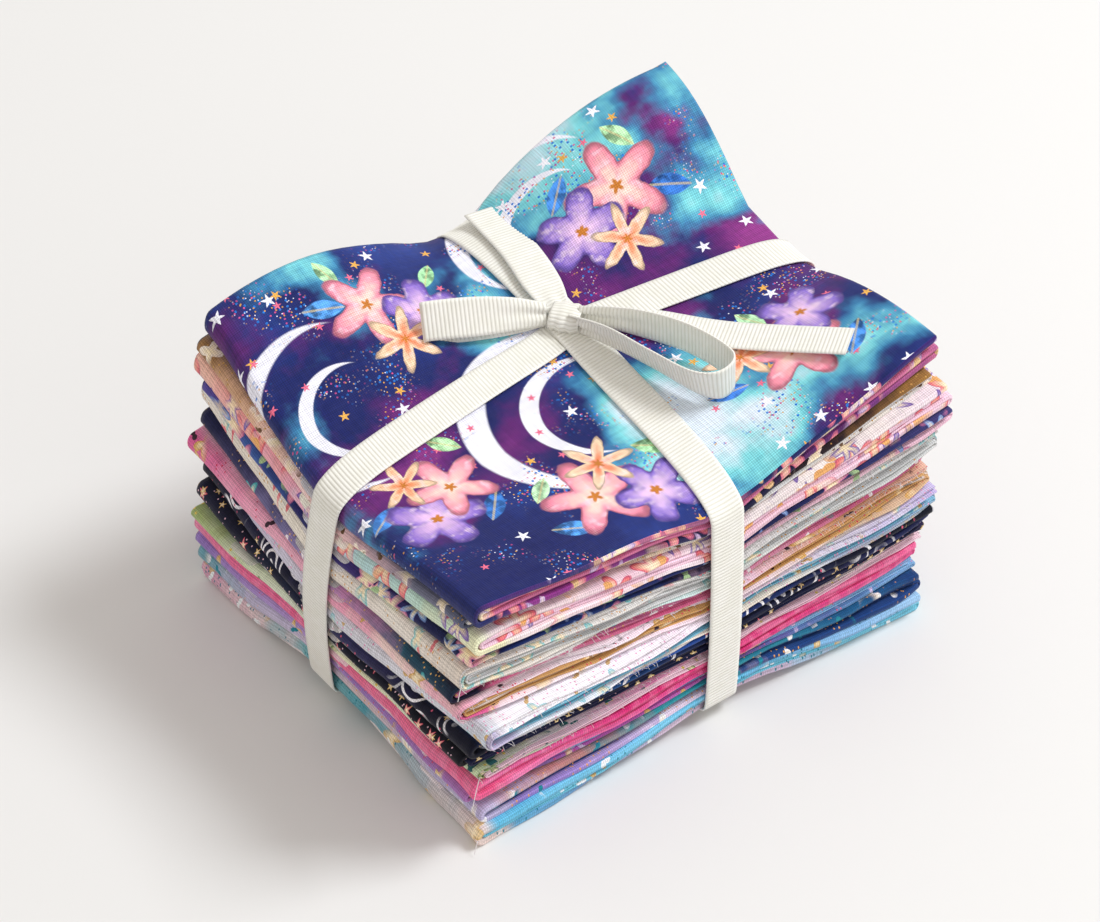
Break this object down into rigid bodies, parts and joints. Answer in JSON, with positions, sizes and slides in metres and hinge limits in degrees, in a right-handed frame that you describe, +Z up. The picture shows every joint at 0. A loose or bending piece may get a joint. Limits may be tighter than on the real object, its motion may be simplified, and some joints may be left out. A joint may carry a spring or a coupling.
{
  "type": "fat quarter bundle",
  "caption": "Stack of folded printed-cotton fat quarters held crosswise by an off-white grosgrain ribbon tied in a bow on top",
  "frame": {"origin": "centre of the footprint, on the surface that the bundle stands on", "axes": "+X along the longer side of the stack, towards the loose ends; +Y along the shorter side, away from the side that shows the cut layers; +Z up"},
  "size_m": [0.1488, 0.1284, 0.1037],
  "materials": {
    "galaxy_print": "matte plain-weave cotton",
    "gold_blush_print": "matte plain-weave cotton",
    "blush_print": "matte plain-weave cotton",
    "navy_floral_print": "matte plain-weave cotton",
    "cream_print": "matte plain-weave cotton",
    "dusk_print": "matte plain-weave cotton",
    "rose_print": "matte plain-weave cotton",
    "pale_lilac_print": "matte plain-weave cotton",
    "night_arc_print": "matte plain-weave cotton",
    "night_star_print": "matte plain-weave cotton",
    "leaf_cream_print": "matte plain-weave cotton",
    "hot_pink_print": "matte plain-weave cotton",
    "violet_print": "matte plain-weave cotton",
    "lilac_print": "matte plain-weave cotton",
    "aqua_print": "matte plain-weave cotton",
    "ribbon": "soft sheen grosgrain"
  },
  "bodies": {
    "root": {"fat_quarter_01": "aqua_print", "fat_quarter_02": "lilac_print", "fat_quarter_03": "violet_print", "fat_quarter_04": "hot_pink_print", "fat_quarter_05": "leaf_cream_print", "fat_quarter_06": "night_star_print", "fat_quarter_07": "night_arc_print", "fat_quarter_08": "pale_lilac_print", "fat_quarter_09": "rose_print", "fat_quarter_10": "dusk_print", "fat_quarter_11": "cream_print", "fat_quarter_12": "navy_floral_print", "fat_quarter_13": "blush_print", "fat_quarter_14": "gold_blush_print", "fat_quarter_15": "galaxy_print", "ribbon_wrap_long": "ribbon", "ribbon_wrap_short": "ribbon", "ribbon_knot": "ribbon", "ribbon_loop_left": "ribbon", "ribbon_loop_right": "ribbon", "ribbon_tail_back": "ribbon", "ribbon_tail_right": "ribbon"}
  },
  "joints": []
}
